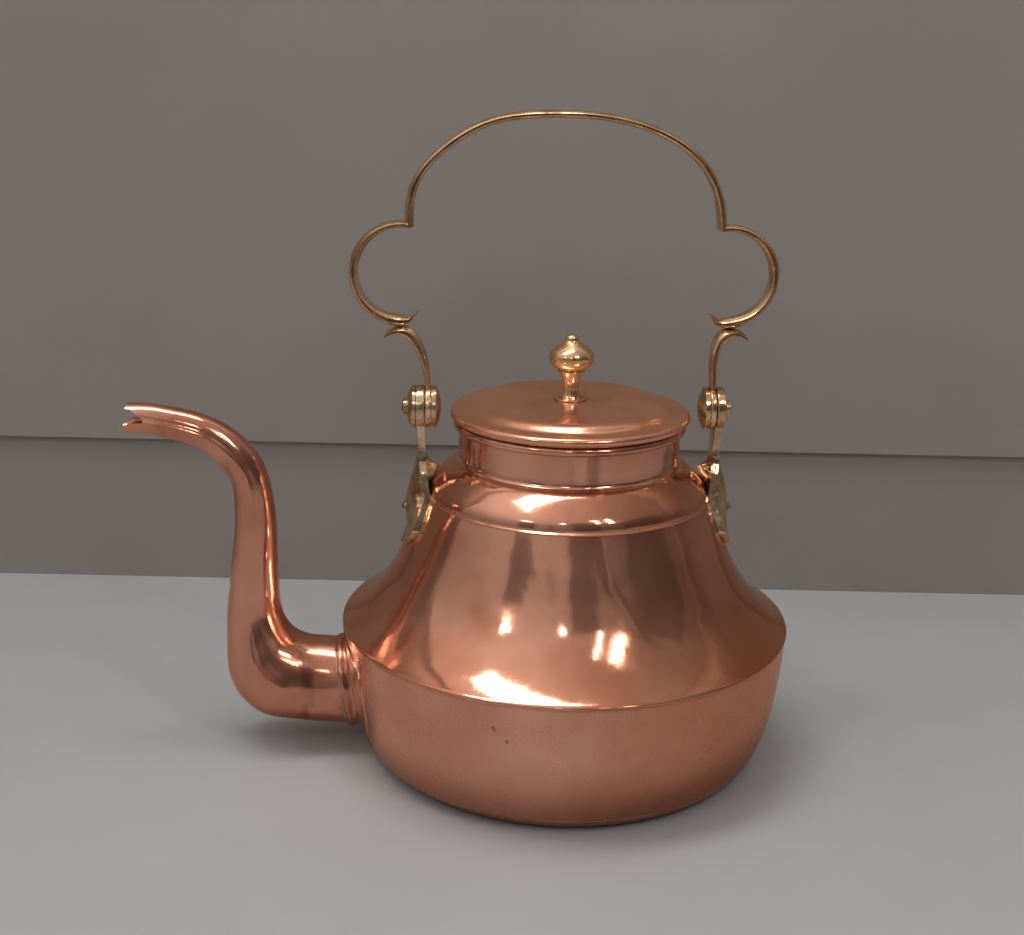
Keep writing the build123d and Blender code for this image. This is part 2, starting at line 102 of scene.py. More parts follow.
def rounded(profile, radius, steps=4):
    """Closed outline with corners sharper than CORNER rounded."""
    p = np.array(profile, float)
    out = []
    n = len(p)
    for i in range(n):
        a, b, c = p[i - 1], p[i], p[(i + 1) % n]
        u, v = a - b, c - b
        lu, lv = np.linalg.norm(u), np.linalg.norm(v)
        turn = math.acos(max(-1, min(1, float(u @ v) / (lu * lv))))
        if turn > CORNER:
            out.append(b)
            continue
        r = min(radius, 0.45 * lu, 0.45 * lv)
        p0, p1 = b + u / lu * r, b + v / lv * r
        for k in range(steps + 1):
            s = k / steps
            out.append((1 - s)**2 * p0 + 2 * s * (1 - s) * b + s**2 * p1)
    return np.array(out)


# ---------------------------------------------------------------- meshes
def make(name, verts, faces, mat, body, nodes=(), sharp=40, inside=()):
    """Mesh piece in millimetres that rides on a body and stands for CAD nodes.

    mat is its material or a list of them. The faces listed in inside take the second material.
    """
    mesh = bpy.data.meshes.new(name)
    points = [tuple(float(c) * MM for c in v) for v in verts]
    mesh.from_pydata(points, [], [tuple(f) for f in faces])
    for i in inside:
        mesh.polygons[i].material_index = 1
    bm = bmesh.new()
    bm.from_mesh(mesh)
    bmesh.ops.remove_doubles(bm, verts=bm.verts, dist=1e-6)
    bmesh.ops.recalc_face_normals(bm, faces=bm.faces)
    bm.to_mesh(mesh)
    bm.free()
    mesh.shade_smooth()
    mesh.set_sharp_from_angle(angle=math.radians(sharp))
    obj = bpy.data.objects.new(name, mesh)
    bpy.context.scene.collection.objects.link(obj)
    mats = mat if isinstance(mat, (list, tuple)) else [mat]
    for m in mats:
        mesh.materials.append(m)
    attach(obj, body)
    if nodes:
        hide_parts(*nodes)
    return obj


def grid_faces(rows, cols, close_rows=False):
    """Quads of a tube of rows, each row closed; close_rows joins the last row to the first."""
    faces = []
    for i in range(rows if close_rows else rows - 1):
        for j in range(cols):
            a, b = i * cols + j, i * cols + (j + 1) % cols
            c, d = ((i + 1) % rows) * cols + (j + 1) % cols, ((i + 1) % rows) * cols + j
            faces.append((a, b, c, d))
    return faces


def capped(rows, cols):
    """Faces of a tube of rows with a flat face at each end."""
    ends = [tuple(range(cols)), tuple(range((rows - 1) * cols, rows * cols))]
    return grid_faces(rows, cols) + ends


def wave(x, y, z, size, seed):
    """Smooth noise between about -1 and 1 at a wavelength in millimetres."""
    return noise.noise(Vector((x / size + seed, y / size - seed, z / size + 2 * seed)))


def at(z, table):
    """Value at a height in a table of (height, value) rows, lowest first."""
    heights, values = zip(*table)
    return float(np.interp(z, heights, values))


TURNS = 320


def lining(first, last):
    """Faces of a full lathe between two places on its outline."""
    return range((first - 1) * TURNS, (last - 1) * TURNS)


def lathe(ring, warp=None, segs=TURNS):
    """Vertices and faces of a closed (r, z) outline turned about Z.

    warp(x, y, z) gives (dr, dz) for points off the axis.
    """
    verts = []
    for r, z in ring:
        for a in turns(segs):
            x, y = r * math.cos(a), r * math.sin(a)
            dr, dz = warp(x, y, z) if warp and r > 1 else (0, 0)
            verts.append(((r + dr) * math.cos(a), (r + dr) * math.sin(a), z + dz))
    return verts, grid_faces(len(ring), segs, close_rows=True)


# ---------------------------------------------------------------- materials
class Nodes:
    """Small helper around the node tree of a material or of the world."""

    def __init__(self, owner, coord="Object"):
        owner.use_nodes = True
        self.tree = owner.node_tree
        self.coord = self.node("ShaderNodeTexCoord").outputs[coord]

    def node(self, kind, **values):
        """New node; a value goes to the input of that name, or else to the node's own setting."""
        n = self.tree.nodes.new(kind)
        for key, value in values.items():
            if key in n.inputs:
                self.put(n.inputs[key], value)
            else:
                setattr(n, key, value)
        return n

    def put(self, socket, value):
        if isinstance(value, bpy.types.NodeSocket):
            self.tree.links.new(value, socket)
        else:
            socket.default_value = value

    def split(self):
        """X, Y and Z of the coordinates, by name."""
        n = self.node("ShaderNodeSeparateXYZ")
        self.put(n.inputs[0], self.coord)
        return n.outputs

    def camera_ray(self):
        """1 where the camera sees the surface itself, 0 in mirrored and scattered light."""
        return self.node("ShaderNodeLightPath").outputs["Is Camera Ray"]

    def noise(self, scale, detail=3, rough=0.5, stretch=None, distortion=0.0):
        n = self.node("ShaderNodeTexNoise", Scale=scale, Detail=detail, Roughness=rough,
                      Distortion=distortion)
        source = self.coord
        if stretch:
            mapping = self.node("ShaderNodeMapping", Scale=stretch)
            self.put(mapping.inputs["Vector"], source)
            source = mapping.outputs[0]
        self.put(n.inputs["Vector"], source)
        return n.outputs["Fac"]

    def ramp(self, fac, lo, hi, a=0.0, b=1.0):
        """Fac between lo and hi mapped to a..b, smooth."""
        n = self.node("ShaderNodeMapRange", interpolation_type="SMOOTHSTEP")
        for i, value in enumerate((fac, lo, hi, a, b)):
            self.put(n.inputs[i], value)
        return n.outputs[0]

    def mix(self, fac, a, b):
        n = self.node("ShaderNodeMix", data_type="RGBA")
        self.put(n.inputs[0], fac)
        self.put(n.inputs[6], a)
        self.put(n.inputs[7], b)
        return n.outputs[2]

    def math(self, op, a, b=0.0):
        n = self.node("ShaderNodeMath", operation=op)
        self.put(n.inputs[0], a)
        self.put(n.inputs[1], b)
        return n.outputs[0]

    def bump(self, height, distance, normal=None):
        n = self.node("ShaderNodeBump", Strength=1.0, Distance=distance, Height=height)
        if normal:
            self.put(n.inputs["Normal"], normal)
        return n.outputs[0]

    def recess(self, distance):
        """How open the surface is, 0 deep in a corner and 1 out in the open."""
        n = self.node("ShaderNodeAmbientOcclusion", samples=4, Distance=distance)
        return n.outputs["AO"]


def rgba(r, g, b):
    """Linear colour from sRGB 0-255."""
    def lin(c):
        c /= 255
        return c / 12.92 if c <= 0.04045 else ((c + 0.055) / 1.055)**2.4
    return (lin(r), lin(g), lin(b), 1.0)


# Painted shade colours: brown for the dim side away from the spout, dark for the reflected contact
# shadow near the foot.
SIDE_SHADE_BROWN, FOOT_SHADE = (196, 118, 78), (140, 82, 58)


def painted_side_and_foot_shade(n, colour, side_shade, foot):
    """Painted shade: colour browned in patches on the side away from the spout, where the room is
    dimmer, and darkened near the foot as a painted reflection of the contact shadow.
    """
    place = n.split()
    side = n.ramp(place["X"], -0.04, 0.12)
    brown = n.math("MULTIPLY", side, n.ramp(n.noise(9, 2), 0.3, 0.6, 0.4, 1.0))
    colour = n.mix(n.math("MULTIPLY", brown, side_shade), colour, rgba(*SIDE_SHADE_BROWN))
    return n.mix(n.ramp(place["Z"], 0.008, 0.062, foot, 0.0), colour, rgba(*FOOT_SHADE))


def pitting(n, pits):
    """Mask of small pits that come in groups."""
    spots = n.node("ShaderNodeTexVoronoi", Scale=105.0, Randomness=1.0)
    n.put(spots.inputs["Vector"], n.coord)
    gate = n.ramp(n.noise(34, 2), 0.64, 0.68)
    pit = n.math("MULTIPLY", n.ramp(spots.outputs["Distance"], 0.10, 0.17, 1.0, 0.0), gate)
    return n.math("MULTIPLY", pit, pits)


def relief(n, ripple, dimple, grain):
    """Normal with hand-worked ripples, hammer dimples, grain and fine scratches."""
    normal = None
    sizes = (15, 0.45, 0.01 * ripple), (75, 0.5, 0.001 * dimple), (230, 0.5, 0.001 * grain)
    for scale, rough, depth in sizes:
        if depth:
            normal = n.bump(n.noise(scale, 2, rough), depth, normal)
    return n.bump(n.noise(620, 2, 0.6, stretch=(1, 1, 0.12)), 0.00002, normal)


def metal(name, light, dark, rough, spread, ripple=0.0, dimple=0.0, grain=0.0, pits=0.0,
          tarnish_and_shade=(60, 36, 24), recess=0.010, streak=None, blotch=16, edge=(255, 236, 220),
          film=0.04, side_shade=0.0, foot=0.0):
    """Polished sheet or cast metal: blotches, relief, pits, painted reflected streaks and painted
    shade in recesses.

    light and dark are the blotches' colours and blotch their noise scale. edge is the colour at a
    grazing view, and tarnish_and_shade that of the real pits, the painted reflected streaks and the
    painted shade in recesses. rough varies by spread. ripple, dimple and grain are relief in ever
    finer sizes, and recess is how far the painted shade in a corner reaches in metres. streak
    stretches the streaks. film is the share that doesn't shine as metal. side_shade and foot set
    the painted shade on the side away from the spout and near the foot.
    """
    mat = bpy.data.materials.new(name)
    n = Nodes(mat)
    patches = n.noise(blotch, 3, 0.5)
    cloud = n.noise(blotch * 0.35, 2, 0.5, distortion=0.6)
    colour = n.mix(n.ramp(patches, 0.34, 0.68), rgba(*light), rgba(*dark))
    colour = n.mix(n.math("MULTIPLY", n.ramp(cloud, 0.5, 0.75), 0.5), colour, rgba(*dark))
    # Painted shade on the dim side and near the foot.
    if side_shade:
        colour = painted_side_and_foot_shade(n, colour, side_shade, foot)
    # Painted reflection: dark streaks along the spout and neck stand for the room mirrored in their
    # facets.
    if streak:
        lines = n.noise(26, 3, 0.6, stretch=streak)
        colour = n.mix(n.math("MULTIPLY", n.ramp(lines, 0.52, 0.72), 0.55), colour, rgba(*tarnish_and_shade))
    roughness = n.ramp(n.noise(blotch * 2.2, 4, 0.6), 0.3, 0.75, rough - spread, rough + spread)
    smear = n.noise(210, 4, 0.7, stretch=(1, 1, 0.25))
    roughness = n.math("ADD", roughness, n.ramp(smear, 0.4, 0.8, 0.0, spread))
    if pits:
        pit = pitting(n, pits)
        colour = n.mix(pit, colour, rgba(*tarnish_and_shade))
        roughness = n.math("ADD", roughness, n.math("MULTIPLY", pit, 0.35))
    # Painted shade: darker, rougher colour in corners and recesses, in uneven patches.
    shade = n.ramp(n.recess(recess), 0.25, 0.95, 1.0, 0.0)
    recess_shade = n.math("MULTIPLY", shade, n.ramp(n.noise(90, 3), 0.3, 0.7, 0.35, 1.0))
    colour = n.mix(n.math("MULTIPLY", recess_shade, 0.8), colour, rgba(*tarnish_and_shade))
    roughness = n.math("ADD", roughness, n.math("MULTIPLY", recess_shade, 0.2))
    # Metal seen in other metal is paler, so that two bounces of copper don't glow orange.
    colour = n.mix(n.camera_ray(), n.mix(0.5, colour, rgba(*edge)), colour)
    bsdf = n.tree.nodes["Principled BSDF"]
    n.put(bsdf.inputs["Base Color"], colour)
    n.put(bsdf.inputs["Roughness"], roughness)
    n.put(bsdf.inputs["Metallic"], 1.0 - film)
    n.put(bsdf.inputs["Specular Tint"], rgba(*edge))
    n.put(bsdf.inputs["Normal"], relief(n, ripple, dimple, grain))
    return mat


COPPER_WAIST = metal("copper_waist", (234, 168, 140), (214, 142, 112), 0.10, 0.03, ripple=0.13,
                     dimple=0.10, tarnish_and_shade=(84, 48, 34), side_shade=0.6)
COPPER_DRUM = metal("copper_drum", (242, 174, 148), (220, 148, 120), 0.27, 0.04, ripple=0.09,
                    dimple=0.04, pits=0.5, tarnish_and_shade=(104, 62, 46), blotch=11, film=0.12, side_shade=0.45,
                    foot=0.62)
COPPER_SPOUT = metal("copper_spout", (234, 168, 142), (208, 136, 108), 0.13, 0.05, ripple=0.16,
                     dimple=0.18, pits=0.4, tarnish_and_shade=(110, 62, 44), blotch=14,
                     streak=(1.5, 1.5, 0.14))
COPPER_NECK = metal("copper_neck", (238, 176, 150), (214, 146, 118), 0.11, 0.04, ripple=0.14,
                    dimple=0.14, tarnish_and_shade=(104, 58, 42), blotch=14, streak=(1.9, 1.9, 0.2))
COPPER_LID = metal("copper_lid", (246, 180, 146), (226, 154, 120), 0.17, 0.05, ripple=0.05,
                   dimple=0.06, tarnish_and_shade=(72, 42, 30), film=0.12)
BRASS_KNOB = metal("brass_knob", (248, 200, 154), (226, 166, 118), 0.13, 0.05, dimple=0.06,
                   tarnish_and_shade=(112, 70, 36), recess=0.004, blotch=40, edge=(255, 240, 215))
BRASS_CAST = metal("brass_fittings", (234, 204, 166), (178, 144, 108), 0.15, 0.07, dimple=0.6,
                   tarnish_and_shade=(62, 42, 28), recess=0.007, blotch=60, edge=(255, 242, 222), grain=0.22)
BRASS_BAIL = metal("brass_handle", (250, 214, 172), (206, 164, 122), 0.14, 0.06, dimple=0.35,
                   tarnish_and_shade=(70, 46, 30), recess=0.003, blotch=60, edge=(255, 240, 222), grain=0.12)
# Darker copy of the handle's brass for the bar's flat sides: painted dark reflection.
BRASS_SHADED_FACE = metal("brass_handle_shaded_face", (182, 138, 98), (120, 84, 56), 0.22, 0.08, dimple=0.4,
                   tarnish_and_shade=(58, 38, 26), recess=0.003, blotch=70, edge=(240, 220, 196), grain=0.2)
TIN = metal("tin_lining", (176, 172, 164), (134, 128, 120), 0.42, 0.1, dimple=0.3,
            tarnish_and_shade=(80, 72, 64), edge=(255, 255, 252))
SOLDER = metal("solder", (196, 186, 174), (150, 138, 126), 0.3, 0.1, dimple=0.8,
               tarnish_and_shade=(90, 72, 60), blotch=60, edge=(255, 250, 245))


# ---------------------------------------------------------------- body sheets
AXIS = 0.01
SHEET = 1.5
SEAM = (133.7, 10.0)
GIRTH_R, GIRTH_Z = 150.0, 94.5
EDGE_R, EDGE_Z = 92.3, 182.0
NECK_R, NECK_FOOT_Z, NECK_TOP_Z = 72.6, 204.5, 228.8
BEAD_R = 3.0

drum_path = spline([SEAM, (142.5, 34), (GIRTH_R - 0.7, GIRTH_Z - 5)], (0.5, 1), (0.06, 1), 44)
cone_path = spline([(GIRTH_R, GIRTH_Z), (123.8, 118), (105.6, 151), (EDGE_R, EDGE_Z)],
                   (-1.7, 1), (-0.42, 1), 64)
dome_path = spline([(EDGE_R, EDGE_Z), (91.2, 187.8), (86.8, 193.8), (NECK_R + 1.2, NECK_FOOT_Z)],
                   (0.05, 1), (-1, 0.5), 30)


def body_radius(z):
    """Outer radius of the kettle's skin at a height."""
    path = drum_path if z < GIRTH_Z else cone_path if z < EDGE_Z else dome_path
    return float(np.interp(z, path[:, 1], path[:, 0]))


def worked(amount, size, seed):
    """Unevenness of hand-raised sheet, as a warp for lathe."""
    def warp(x, y, z):
        return amount * wave(x, y, z, size, seed) + 0.3 * amount * wave(x, y, z, size / 3, seed), 0
    return warp


def drum():
    """Drum up to the girth, tinned inside."""
    brim = [(GIRTH_R - 0.75, GIRTH_Z - 2.4), (GIRTH_R - 1.2, GIRTH_Z - 1.2)]
    outer = np.concatenate([drum_path, brim])
    inner = outer + normals(outer) * SHEET
    ring = np.concatenate([outer, inner[::-1]])
    verts, faces = lathe(ring, worked(0.35, 46, 3.1))
    make("drum_sheet", verts, faces, [COPPER_DRUM, TIN], BODY, ["lower_body"],
         inside=lining(len(outer), len(ring)))


CREASE = [(110.0, 31.1), (119.0, 23.2), (128.0, 17.9), (151.0, 10.4), (175.0, 8.2)]
CREASE_WIDTH, CREASE_FADE = 2.6, 6


def crease(x, y, z):
    """Soft dented line down the front of the waist: 1 along the line and 0 away from it."""
    low, high = CREASE[0][0] - CREASE_FADE, CREASE[-1][0] + CREASE_FADE
    if not low < z < high:
        return 0.0
    off = math.radians(math.degrees(math.atan2(x, -y)) - at(z, CREASE))
    gap = off * math.hypot(x, y)
    ends = min(1.0, (z - low) / 10, (high - z) / 10)
    return ends * math.exp(-(gap / CREASE_WIDTH)**2)


def waist():
    """Waist sheet with its hand-trimmed lip lapped over the drum."""
    lip = np.array([(-0.5, -2.3), (0.05, -1.9), (0.3, -1.2), (0.25, -0.4)]) + (GIRTH_R, GIRTH_Z)
    outer = np.concatenate([lip, cone_path])
    inner = outer + normals(outer) * SHEET
    inner[:len(lip), 0] = GIRTH_R - SHEET + 0.05
    ring = np.concatenate([outer, inner[::-1]])

    def warp(x, y, z):
        dr = 0.5 * wave(x, y, z, 42, 7.7) + 0.2 * wave(x, y, z, 17, 1.3) + 0.45 * crease(x, y, z)
        trim = 1.1 * wave(x, y, 0, 30, 4.4) + 0.6 * wave(x, y, 0, 10, 2.2)
        low = min(1.0, max(0.0, (GIRTH_Z - 0.4 - z) / 1.9))
        dr = dr * min(1, max(0.15, (z - GIRTH_Z) / 15)) + 0.25 * low * wave(x, y, 0, 13, 8.2)
        return dr, trim * low
    verts, faces = lathe(ring, warp)
    make("waist_sheet", verts, faces, [COPPER_WAIST, TIN], BODY, ["upper_body"],
         inside=lining(len(outer), len(ring)))


def shoulder():
    """Domed shoulder with a creased edge over the waist."""
    crest = arc(EDGE_R + 0.1, EDGE_Z, 1.0, -150, 10, 8)
    outer = np.concatenate([crest, dome_path[1:]])
    inner = dome_path + normals(dome_path) * SHEET
    ring = np.concatenate([outer, inner[::-1]])
    verts, faces = lathe(ring, worked(0.4, 34, 5.5))
    make("shoulder_sheet", verts, faces, [COPPER_WAIST, TIN], BODY, ["shoulder"],
         inside=lining(len(outer), len(ring)))


def neck():
    """Upright neck band with a flared foot and a rolled bead round its top."""
    foot = NECK_FOOT_Z + 0.2
    flare = np.array([(2.6, -0.9), (2.5, -0.2), (1.4, 0.4), (0.4, 1.4), (0, 3.0)]) + (NECK_R, foot)
    outer = np.concatenate([flare, [(NECK_R, 212), (NECK_R, 219), (NECK_R, 225.6)]])
    bead = arc(NECK_R + 0.9, NECK_TOP_Z, BEAD_R, -106, 190, 20)
    bore = NECK_R - SHEET
    inner = np.array([(bore, 226.0), (bore, 215.0), (bore, foot - SHEET)])
    ring = np.concatenate([outer, bead, inner])

    def warp(x, y, z):
        facet = 0.42 * wave(x, y, 0, 12, 9.1) + 0.35 * wave(x, y, z, 40, 2.7)
        return facet * min(1, max(0, (226 - z) / 6)) * min(1, max(0.2, (z - foot) / 4)), 0
    verts, faces = lathe(ring, warp)
    make("neck_band", verts, faces, [COPPER_NECK, TIN], BODY, ["neck_collar"],
         inside=lining(len(outer) + len(bead) + 1, len(ring)))


def base():
    """Base pan, a little dished, with a rounded corner."""
    path = flow([(AXIS, 0.9), (60, 0.6), (112, 0.0), (120.5, 0.6), (128.5, 4.2),
                 (SEAM[0] + 0.1, SEAM[1] + 0.1)], 60)
    path[:, 1] = np.maximum(path[:, 1], 0.0)
    inner = path + normals(path) * SHEET
    ring = np.concatenate([path, inner[::-1]])
    verts, faces = lathe(ring)
    make("base_sheet", verts, faces, [COPPER_DRUM, TIN], BODY, ["base_pan"],
         inside=lining(len(path), len(ring)))


# ---------------------------------------------------------------- lid and knob
LID_R, LID_TOP_R, LID_TOP_Z, LID_CROWN = 78.6, 64.0, 243.9, 0.8
LID_MID_R, LID_SHEET = 12.0, 1.4


def lid():
    """Lid cover: nearly flat top, a step down to a rolled rim, tinned underneath."""
    peak = LID_TOP_Z + LID_CROWN
    top = np.array([(AXIS, peak), (LID_MID_R, peak)])
    flat = spline([(LID_MID_R, peak), (LID_TOP_R - 6, LID_TOP_Z)], (1, 0), (1, -0.05), 14)[1:]
    cove = spline([(LID_TOP_R - 6, LID_TOP_Z), (LID_TOP_R + 1, LID_TOP_Z - 2.0),
                   (LID_TOP_R + 4.5, LID_TOP_Z - 4.6), (LID_R - 5.0, LID_TOP_Z - 5.6)],
                  (1, -0.05), (1, -0.1), 26)[1:]
    a = np.radians(np.linspace(100, -165, 22))
    lip = np.stack([LID_R - 3.3 + 3.3 * np.cos(a), LID_TOP_Z - 8.6 + 3.1 * np.sin(a)], 1)
    under = np.array([(LID_R - 8.5, LID_TOP_Z - 7.2), (LID_TOP_R + 3.4, LID_TOP_Z - 6.0),
                      (LID_TOP_R, LID_TOP_Z - 3.6), (LID_TOP_R - 6, LID_TOP_Z - LID_SHEET),
                      (LID_MID_R, peak - LID_SHEET), (AXIS, peak - LID_SHEET)])
    ring = np.concatenate([top, flat, cove, lip, under])

    def warp(x, y, z):
        r = math.hypot(x, y)
        inner, outer = min(1, max(0, (r - LID_MID_R) / 12)), min(1, max(0, (LID_TOP_R - r) / 8))
        sag = 0.35 * wave(x, y, 0, 38, 6.2) * inner * outer
        return 0.25 * wave(x, y, z, 30, 8.8) * min(1, max(0, (r - 60) / 8)), sag
    verts, faces = lathe(ring, warp)
    make("lid_sheet", verts, faces, [COPPER_LID, TIN], LID, ["lid_cover"],
         inside=lining(len(ring) - len(under) + 1, len(ring)))


KNOB_WASHER, KNOB_H = 1.2, 42.0


def knob():
    """Turned knob: button, onion bulb with a bead edge, waisted stem."""
    z0 = LID_TOP_Z + LID_CROWN + KNOB_WASHER
    stem = spline([(7.2, z0), (5.4, z0 + 7), (8.0, z0 + 17)], (-0.6, 1), (0.6, 1), 14)
    bead = arc(8.2, z0 + 18.0, 1.0, -60, 70, 6)
    bulb = spline([(9.2, z0 + 19.2), (14.8, z0 + 27.2), (8.0, z0 + 35.2), (4.6, z0 + 38.4)],
                  (1, 0.15), (-0.35, 1), 30)
    button = spline([(4.6, z0 + 38.4), (3.9, z0 + 40.8), (AXIS, z0 + KNOB_H)],
                    (0.15, 1), (-1, 0), 10)[1:]
    ring = np.concatenate([[(AXIS, z0), (7.4, z0)], stem, bead, bulb, button])
    verts, faces = lathe(ring, None, 96)
    make("knob_turned", verts, faces, BRASS_KNOB, LID, ["lid_knob"])


# ---------------------------------------------------------------- spout
# Points of the spout's inner and outer curves in XZ, in pairs from the mouth to the drum.
STATIONS = np.array([
    ((-287.0, 240.5), (-292.5, 221.5)), ((-266.0, 239.0), (-270.0, 218.5)),
    ((-234.0, 231.0), (-243.0, 210.5)), ((-211.0, 215.0), (-228.5, 197.5)),
    ((-198.0, 192.0), (-221.5, 184.0)), ((-193.5, 158.0), (-221.0, 158.0)),
    ((-193.0, 122.0), (-225.0, 122.0)), ((-191.5, 98.0), (-228.5, 88.0)),
    ((-185.0, 84.0), (-227.0, 49.0)), ((-175.0, 77.5), (-208.0, 24.5)),
    ((-164.0, 76.0), (-174.0, 17.5)), ((-151.5, 75.5), (-142.0, 15.5)),
])
SPOUT_SIDE, SPOUT_SHEET = 0.94, 1.4
# Outline in XZ of what is cut off the end to leave a notched mouth.
MOUTH = [(-312, 238.6), (-284.5, 237.4), (-276.0, 231.4), (-276.4, 229.0), (-285.5, 228.4),
         (-291.4, 224.6), (-312, 224.0)]


def between(points, t):
    """Catmull-Rom point a fraction t along evenly counted points."""
    last = len(points) - 1
    i = min(int(t * last), last - 1)
    u = t * last - i
    a, b, c, d = (points[min(max(i + k, 0), last)] for k in (-1, 0, 1, 2))
    bend, twist = 2 * a - 5 * b + 4 * c - d, 3 * b - a - 3 * c + d
    return b + 0.5 * ((c - a) * u + bend * u**2 + twist * u**3)


def section(inner, outer):
    """Centre, unit axis and half width of the spout between its inner and outer curves."""
    axis = (inner - outer) / 2
    half = np.linalg.norm(axis)
    return (inner + outer) / 2, axis / half, half


def spout_ring(t, grow, count, ridge=0.0):
    """Points round the spout at a fraction of its length; ridge raises a line along each side."""
    centre, axis, half = section(between(STATIONS[:, 0], t), between(STATIONS[:, 1], t))
    out = []
    for a in turns(count):
        off = abs(math.degrees(math.atan2(math.cos(a), abs(math.sin(a)))))
        bulge = ridge * math.exp(-(off / 8.0)**2)
        p = centre + axis * math.cos(a) * (half + grow)
        y = math.sin(a) * (half * SPOUT_SIDE + grow + bulge)
        dent = 0.35 * wave(p[0], y, p[1], 21, 3.3)
        x, z = p + axis * math.cos(a) * dent
        out.append((x, y + math.sin(a) * dent, z))
    return out


def cutter(points, half):
    """Temporary prism across the kettle used to cut a mesh."""
    mesh = bpy.data.meshes.new("cutter")
    n = len(points)
    verts = [(x * MM, y * MM, z * MM) for y in (-half, half) for x, z in points]
    faces = [tuple(range(n)), tuple(range(2 * n - 1, n - 1, -1))]
    faces += [(i, i + n, (i + 1) % n + n, (i + 1) % n) for i in range(n)]
    mesh.from_pydata(verts, [], faces)
    bm = bmesh.new()
    bm.from_mesh(mesh)
    bmesh.ops.recalc_face_normals(bm, faces=bm.faces)
    bm.to_mesh(mesh)
    bm.free()
    obj = bpy.data.objects.new("cutter", mesh)
    bpy.context.scene.collection.objects.link(obj)
    return obj


def cut(obj, tool):
    """Subtract a temporary mesh and drop it."""
    mod = obj.modifiers.new("cut", "BOOLEAN")
    mod.operation, mod.solver, mod.object = "DIFFERENCE", "EXACT", tool
    bpy.context.view_layer.update()
    deps = bpy.context.evaluated_depsgraph_get()
    result = bpy.data.meshes.new_from_object(obj.evaluated_get(deps))
    obj.modifiers.clear()
    obj.data = result
    bpy.data.objects.remove(tool)


def spout():
    """Swan-neck tube with its notched mouth cut out."""
    count, rings = 72, 130
    verts = []
    for i in range(rings):
        t = i / (rings - 1)
        verts += spout_ring(t, 0.0, count, ridge=1.0 * min(1, (1 - t) * 6))
    for i in reversed(range(rings)):
        verts += spout_ring(i / (rings - 1), -SPOUT_SHEET, count)
    faces = grid_faces(2 * rings, count, close_rows=True)
    obj = make("spout_neck", verts, faces, COPPER_SPOUT, BODY, ["spout"])
    cut(obj, cutter(MOUTH, 40))
    obj.data.shade_smooth()
    obj.data.set_sharp_from_angle(angle=math.radians(40))


def seam_along():
    """Direction, in XZ, that leads from the spout's end into the drum."""
    axis = section(*STATIONS[-1])[1]
    along = np.array([axis[1], -axis[0]])
    return along if along[0] > 0 else -along


def seam_point(a, shift, grow_in, grow_side):
    """Point round the spout's end, pushed along the seam and grown outward."""
    centre, axis, half = section(*STATIONS[-1])
    p = centre + axis * math.cos(a) * (half + grow_in) + seam_along() * shift
    return p[0], math.sin(a) * (half * SPOUT_SIDE + grow_side), p[1]


def wobble(a):
    """Hand-made unevenness of the seam's line."""
    return 0.35 * math.sin(3 * a + 0.6) + 0.25 * math.sin(7 * a)


def on_drum(y, z):
    """Point on the drum's skin, on the spout's side."""
    r = body_radius(min(max(z, 10.2), GIRTH_Z - 5.2)) + 0.9
    return -math.sqrt(max(r * r - y * y, 1.0)), y, z


SEAM_COUNT = 120
SADDLE_Z, SADDLE_H, SADDLE_W = 50.0, 38.5, 59.0
# Rows of the raised band: shift along the seam and height over the spout.
BAND = ((-3.6, -0.2), (-3.4, 0.9), (-2.6, 1.7), (-1.2, 2.0), (0.6, 1.7), (2.0, 1.1))


def saddle_foot(a):
    """Point of the saddle's edge on the drum."""
    up, wide = math.cos(a), math.sin(a)
    z = SADDLE_Z + SADDLE_H * math.copysign(abs(up)**0.72, up)
    return on_drum(math.copysign(abs(wide)**0.86, wide) * (SADDLE_W + 11.0 * up), z)


def saddle_row(inner, angles, s):
    """One row of the saddle, a fraction s of the way from the band to the drum."""
    row = []
    for start, a in zip(inner, angles):
        bend = np.array(seam_point(a, 9.0, 0.6, 0.8))
        q = (1 - s)**2 * np.array(start) + 2 * s * (1 - s) * bend + s * s * np.array(saddle_foot(a))
        beat = 2.1 * wave(q[0], q[1], q[2], 13, 5.1) * math.sin(math.pi * min(1, s * 0.9 + 0.05))
        row.append((q[0] - beat, q[1] + 0.5 * beat * math.copysign(1, math.sin(a)), q[2]))
    return row


def socket():
    """Raised band at the spout's end, then a beaten saddle that spreads on to the drum."""
    steps = 12
    angles = turns(SEAM_COUNT)
    rows = [[seam_point(a, shift + wobble(a), grow, grow) for a in angles] for shift, grow in BAND]
    band = rows[-1]
    for i in range(1, steps + 1):
        rows.append(saddle_row(band, angles, i / steps))
    under = [[(x + 1.3, y, z) for x, y, z in row] for row in reversed(rows[len(BAND):])]
    rows += under
    rows.append([seam_point(a, 2.4, -0.3, -0.3) for a in angles])
    verts = [p for row in rows for p in row]
    faces = grid_faces(len(rows), SEAM_COUNT, close_rows=True)
    make("spout_saddle", verts, faces, COPPER_SPOUT, BODY, ["spout_socket"],
         sharp=60)


def solder():
    """Lumpy line of solder between the spout and its band."""
    along = seam_along()
    run = np.array([along[0], 0, along[1]])
    ring = []
    for a in turns(SEAM_COUNT):
        shift = wobble(a) - 3.7
        c = np.array(seam_point(a, shift, 0.35, 0.35))
        out = np.array(seam_point(a, shift, 1.35, 1.35)) - c
        out /= np.linalg.norm(out)
        r = 0.62 + 0.22 * math.sin(5 * a + 1.0) + 0.15 * math.sin(11 * a)
        ring += [tuple(c + (out * math.cos(b) + run * math.sin(b)) * r) for b in turns(8)]
    faces = grid_faces(SEAM_COUNT, 8, close_rows=True)
    make("spout_solder", ring, faces, SOLDER, BODY)


